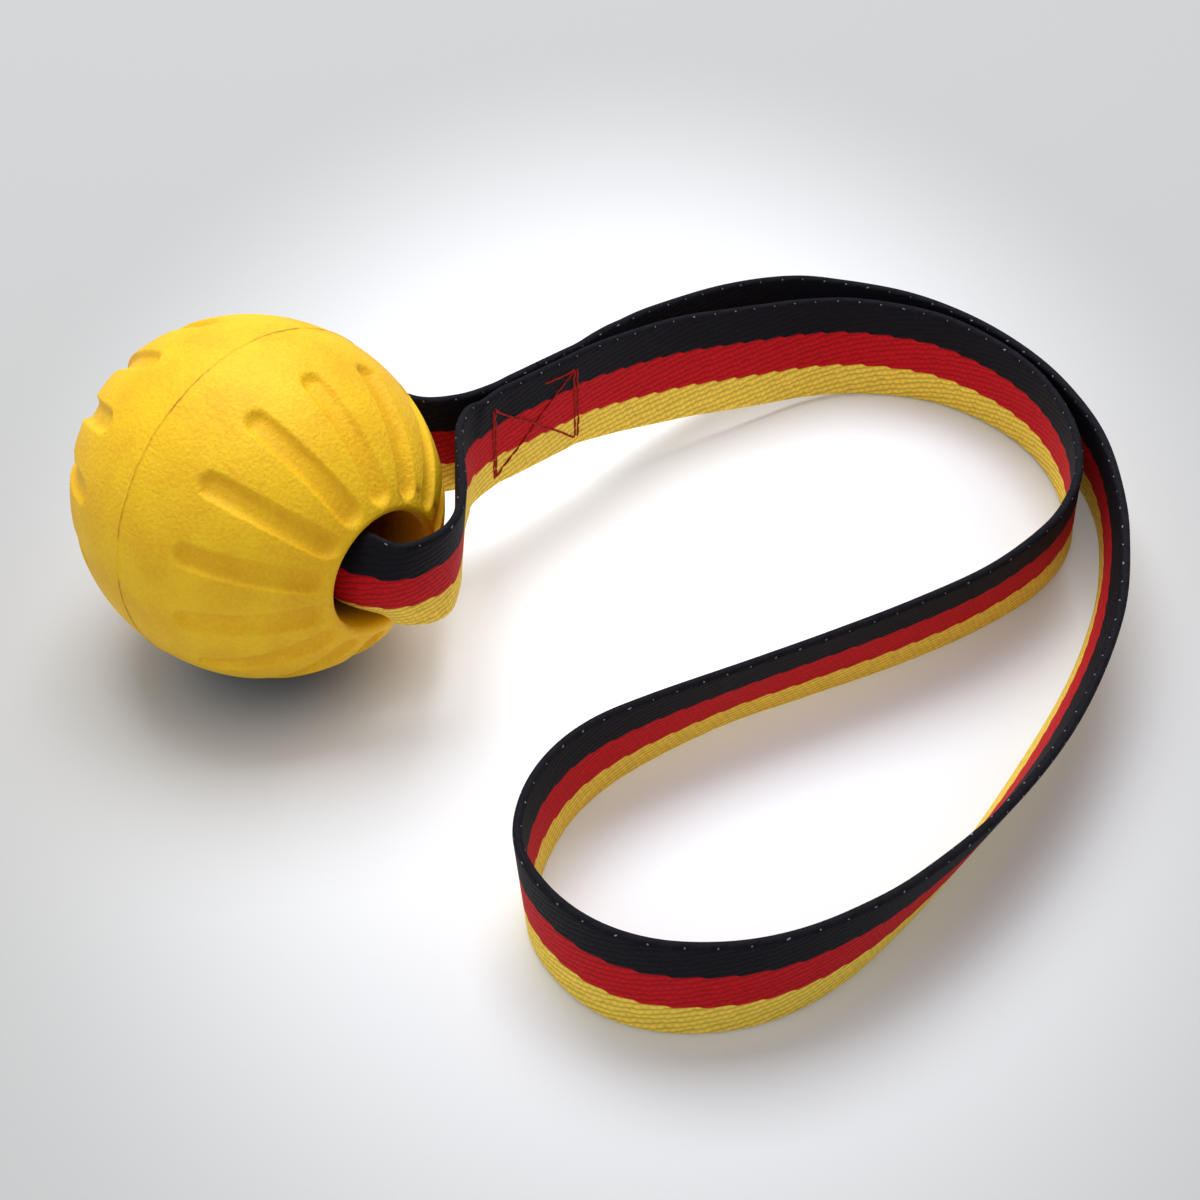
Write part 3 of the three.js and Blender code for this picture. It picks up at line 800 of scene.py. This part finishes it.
def lip_centre(angle):
    """Middle of a lip's round that touches the skin at an angle from the pole."""
    along, out = skin_normal(angle)
    return BALL_POLE * math.cos(angle) - LIP_RADIUS * along, BALL_RADIUS * math.sin(angle) - LIP_RADIUS * out


def lip_angle():
    """Where the lip's round meets the skin, as the skin ellipse's angle from the pole."""
    low, high = 0.0, math.pi / 2
    for _ in range(LIP_HALVINGS):
        middle = (low + high) / 2
        if lip_centre(middle)[1] > BORE_RADIUS + LIP_RADIUS:
            high = middle
        else:
            low = middle
    return high


def ball_outline():
    """Half of the ball's section as a closed outline, along and away from the bore, and the lip's radius."""
    lip = lip_angle()
    flash = math.acos(FLASH_WIDTH / 2 / BALL_POLE)
    half = [(FLASH_WIDTH / 2 * i / OUTLINE_FLASH, BALL_RADIUS + FLASH_HEIGHT * (1 - i / OUTLINE_FLASH) ** 2)
            for i in range(OUTLINE_FLASH)]
    for i in range(OUTLINE_SKIN + 1):
        angle = flash + (lip - flash) * i / OUTLINE_SKIN
        half.append((BALL_POLE * math.cos(angle), BALL_RADIUS * math.sin(angle)))
    centre = lip_centre(lip)
    normal = skin_normal(lip)
    start = math.atan2(normal[1], normal[0])
    for i in range(1, OUTLINE_LIP + 1):
        angle = start + (-math.pi / 2 - start) * i / OUTLINE_LIP
        half.append((centre[0] + LIP_RADIUS * math.cos(angle), centre[1] + LIP_RADIUS * math.sin(angle)))
    bore = [(centre[0] * (1 - 2 * i / OUTLINE_BORE), BORE_RADIUS) for i in range(1, OUTLINE_BORE)]
    return half + bore + [(-x, r) for x, r in reversed(half[1:])], BALL_RADIUS * math.sin(lip)


def groove_depth(along, radius, turn, lip_radius, width, depth):
    """Depth of the pressed grooves at points of the skin: round channels with round ends, on meridians."""
    pitch = 360 / GROOVE_COUNT
    off = (turn - GROOVE_TURN + pitch / 2) % pitch - pitch / 2
    across = radius * np.radians(off)
    half = width / 2
    past_start = GROOVE_START + half - np.abs(along)
    past_land = lip_radius + GROOVE_LAND + half - radius
    outside = np.maximum(np.maximum(past_start, past_land), 0)
    reach = np.hypot(across, outside) / half
    return depth * np.clip(1 - reach**4, 0, None)


class TUGBALL_OT_foam_ball(bpy.types.Operator):
    """Adds the moulded foam ball: a spun section with pressed grooves and a parting line"""
    bl_idname = "tug_ball.foam_ball"
    bl_label = "Foam ball"

    def execute(self, context):
        settings = context.scene.tug_foam
        outline, lip_radius = ball_outline()
        bpy.ops.object.select_all(action="DESELECT")
        bpy.ops.mesh.primitive_circle_add(
            vertices=len(outline), radius=BALL_RADIUS * MM, fill_type="NOTHING")
        ball = context.object
        ball.name = ball.data.name = "foam_ball"
        points = np.array([(x, r, 0) for x, r in outline]) * MM
        ball.data.vertices.foreach_set("co", points.ravel())
        bpy.ops.object.mode_set(mode="EDIT")
        bpy.ops.mesh.select_all(action="SELECT")
        bpy.ops.mesh.spin(steps=SPIN_STEPS, angle=math.tau, center=(0, 0, 0), axis=(1, 0, 0))
        bpy.ops.mesh.select_all(action="SELECT")
        bpy.ops.mesh.remove_doubles(threshold=MERGE_DISTANCE * MM)
        bpy.ops.mesh.normals_make_consistent(inside=False)
        bpy.ops.object.mode_set(mode="OBJECT")
        bpy.ops.object.shade_smooth()
        self.press(ball, settings, lip_radius)
        ball.data.materials.append(foam_material(settings))
        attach(ball, "ball")
        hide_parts("ball")
        return {"FINISHED"}

    def press(self, ball, settings, lip_radius):
        """Presses the grooves into the skin, and marks for the material the hollows, the parting line's
        grime, and painted shade deep in the bore with a few dark spots by the mouth.
        """
        flat = np.zeros(3 * len(ball.data.vertices), np.float32)
        ball.data.vertices.foreach_get("co", flat)
        x, y, z = flat.reshape(-1, 3).astype(float).T / MM
        radius = np.hypot(y, z)
        turn = np.degrees(np.arctan2(z, y))
        depth = groove_depth(
            x, radius, turn, lip_radius, settings.groove_width / MM, settings.groove_depth / MM)
        depth[radius < lip_radius - SKIN_SLACK] = 0
        normal = unit(np.stack([x / BALL_POLE**2, y / BALL_RADIUS**2, z / BALL_RADIUS**2], 1))
        shaped = np.stack([x, y, z], 1) - normal * depth[:, None]
        shaped[:, 2] += BORE_HEIGHT
        ball.data.vertices.foreach_set("co", (shaped * MM).astype(np.float32).ravel())
        stray = sum(size * np.sin(np.radians(waves * turn) + waves) for waves, size in STRAYS)
        line = np.clip(1 - np.abs(x - stray) / PARTING_HALF, 0, 1) * (radius > BORE_RADIUS + LIP_RADIUS)
        # painted shade deep in the bore, fading out towards the mouths
        darkening = np.clip((BORE_SHADE_END - np.abs(x)) / BORE_FADE, 0, 1) * (radius < BORE_RADIUS + SKIN_SLACK)
        # a few dark spots on the skin by the visible mouth, in the same mark
        for at, reach, size in DARK_SPOTS:
            spot = reach * np.array([math.cos(math.radians(at)), math.sin(math.radians(at))])
            blot = np.exp(-(((y - spot[0]) ** 2 + (z - spot[1]) ** 2) / size**2)) * (x > 0)
            darkening = np.maximum(darkening, DARK_SPOT_STRENGTH * blot)
        for name, values in (("hollow", depth / depth.max()), ("parting", line), ("bore", darkening)):
            mark = ball.data.attributes.new(name, "FLOAT", "POINT")
            mark.data.foreach_set("value", values.astype(np.float32))
        ball.data.update()


def seam_lines():
    """The box seam's lines of stitches as pairs of ends: way from the ball's side, height up the webbing."""
    top = SEAM_MARGIN + SEAM_HEIGHT
    row = THREAD_ROW_GAP / 2

    def head(side):
        return side - SEAM_SLANT, top

    def foot(side):
        return side, SEAM_MARGIN

    sides = [side + shift for side in (SEAM_FIRST, SEAM_LAST) for shift in (-row, row)]
    lines = [(head(side), foot(side)) for side in sides]
    lines.append((foot(SEAM_FIRST + row), head(SEAM_LAST - row)))
    lines.append((head(SEAM_FIRST + row), foot(SEAM_LAST - row)))
    lines.append((head(SEAM_LAST - TACK_LENGTH), head(SEAM_LAST - row)))
    return lines


def seam_stretch(front, side):
    """Stretch of the route that is the seam's front or back layer, a given way from the ball's side."""
    if front:
        return SEAM_FRONT
    return (0, NECK_BACK[0]) if side < BUTT_SIDE else SEAM_BACK


class TUGBALL_OT_stitching(bpy.types.Operator):
    """Adds the box seam's needle and bobbin threads, stitch by stitch"""
    bl_idname = "tug_ball.stitching"
    bl_label = "Stitching"

    def execute(self, context):
        settings = context.scene.tug_sewing
        material = thread_material(settings)
        for name, node, front in (("needle_stitches", "needle_thread", True),
                                  ("bobbin_stitches", "bobbin_thread", False)):
            piece = self.thread(name, front, settings, material)
            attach(piece, "handle")
            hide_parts(node)
        return {"FINISHED"}

    def face(self, front, side, height):
        """A point of the seam's outer face and the face's normal."""
        points, normals = sections([place_at_side(side, *seam_stretch(front, side))], np.array([height]))
        return points[0, 0] + normals[0, 0] * STRAP_THICKNESS / 2, normals[0, 0]

    def thread(self, name, front, settings, material):
        """All the stitches on one face of the seam, as one piece."""
        wander = np.random.default_rng(settings.seed)
        radius = settings.thread / MM / 2
        vertices, faces = [], []
        for start, end in seam_lines():
            start, end = np.array(start), np.array(end)
            count = max(1, round(np.linalg.norm(end - start) / (settings.stitch / MM)))
            knots = [start + (end - start) * i / count for i in range(count + 1)]
            knots = [knot + wander.uniform(-STITCH_WANDER, STITCH_WANDER, 2) for knot in knots]
            for a, b in zip(knots, knots[1:]):
                self.stitch(vertices, faces, self.face(front, *a), self.face(front, *b), radius)
        return new_piece(name, vertices, faces, material)

    def stitch(self, vertices, faces, start, end, radius):
        """One stitch: a short thread that rises out of the webbing, lies on it and dives back in."""
        (a, normal), (b, _) = start, end
        along = unit(b - a)
        side = np.cross(normal, along)
        base = len(vertices)
        for i in range(STITCH_RINGS + 1):
            share = i / STITCH_RINGS
            rise = radius * (STITCH_RISE - STITCH_SINK * (1 - math.sin(math.pi * share) ** 0.5))
            centre = a + (b - a) * share + normal * rise
            for k in range(STITCH_SIDES):
                angle = math.tau * k / STITCH_SIDES
                vertices.append(centre + radius * (side * math.cos(angle) + normal * math.sin(angle)))
        for i in range(STITCH_RINGS):
            for k in range(STITCH_SIDES):
                p, q = base + i * STITCH_SIDES + k, base + i * STITCH_SIDES + (k + 1) % STITCH_SIDES
                faces.append((p, q, q + STITCH_SIDES, p + STITCH_SIDES))
        faces.append(tuple(base + k for k in reversed(range(STITCH_SIDES))))
        faces.append(tuple(base + STITCH_RINGS * STITCH_SIDES + k for k in range(STITCH_SIDES)))


class TUGBALL_OT_stage(bpy.types.Operator):
    """Adds the pale floor and the soft lights"""
    bl_idname = "tug_ball.stage"
    bl_label = "Stage"

    def execute(self, context):
        settings = context.scene.tug_stage
        bpy.ops.object.select_all(action="DESELECT")
        bpy.ops.mesh.primitive_circle_add(vertices=FLOOR_SIDES, radius=FLOOR_RADIUS, fill_type="NGON")
        floor = context.object
        floor.name = floor.data.name = "floor"
        floor.data.materials.append(floor_material(settings))
        world = bpy.data.worlds.new("studio")
        world.use_nodes = True
        sky = world.node_tree.nodes["Background"]
        sky.inputs["Color"].default_value = linear("#ffffff")
        sky.inputs["Strength"].default_value = settings.sky
        context.scene.world = world
        for name, box in SOFTBOXES.items():
            light = bpy.data.lights.new(name, "AREA")
            light.energy = getattr(settings, name)
            light.size = box["width"]
            aimed(context, light, CAMERA_AZIMUTH + box["turn"], box["height"], box["distance"])
        context.scene.view_settings.view_transform = "Standard"
        return {"FINISHED"}


class TUGBALL_PT_panel(bpy.types.Panel):
    """Lists the steps that build the tug ball"""
    bl_idname = "TUGBALL_PT_panel"
    bl_label = "Tug Ball"
    bl_space_type = "VIEW_3D"
    bl_region_type = "UI"
    bl_category = "Tug Ball"

    def draw(self, context):
        for settings, step in STEPS:
            box = self.layout.box()
            group = getattr(context.scene, settings) if settings else None
            for name in getattr(group, "__annotations__", {}):
                box.prop(group, name)
            box.operator(step.bl_idname)


STEPS = [
    (None, TUGBALL_OT_camera),
    ("tug_webbing", TUGBALL_OT_webbing),
    ("tug_foam", TUGBALL_OT_foam_ball),
    ("tug_sewing", TUGBALL_OT_stitching),
    ("tug_stage", TUGBALL_OT_stage),
]
GROUPS = {
    "tug_foam": FoamSettings,
    "tug_webbing": WebbingSettings,
    "tug_sewing": SewingSettings,
    "tug_stage": StageSettings,
}
CLASSES = [*GROUPS.values(), *(step for _, step in STEPS), TUGBALL_PT_panel]


def register():
    for cls in CLASSES:
        bpy.utils.register_class(cls)
    for name, group in GROUPS.items():
        setattr(bpy.types.Scene, name, PointerProperty(type=group))


def unregister():
    for name in GROUPS:
        delattr(bpy.types.Scene, name)
    for cls in reversed(CLASSES):
        bpy.utils.unregister_class(cls)


def main():
    register()
    bpy.ops.tug_ball.camera()
    bpy.ops.tug_ball.webbing()
    bpy.ops.tug_ball.foam_ball()
    bpy.ops.tug_ball.stitching()
    bpy.ops.tug_ball.stage()


if __name__ == "__main__":
    main()
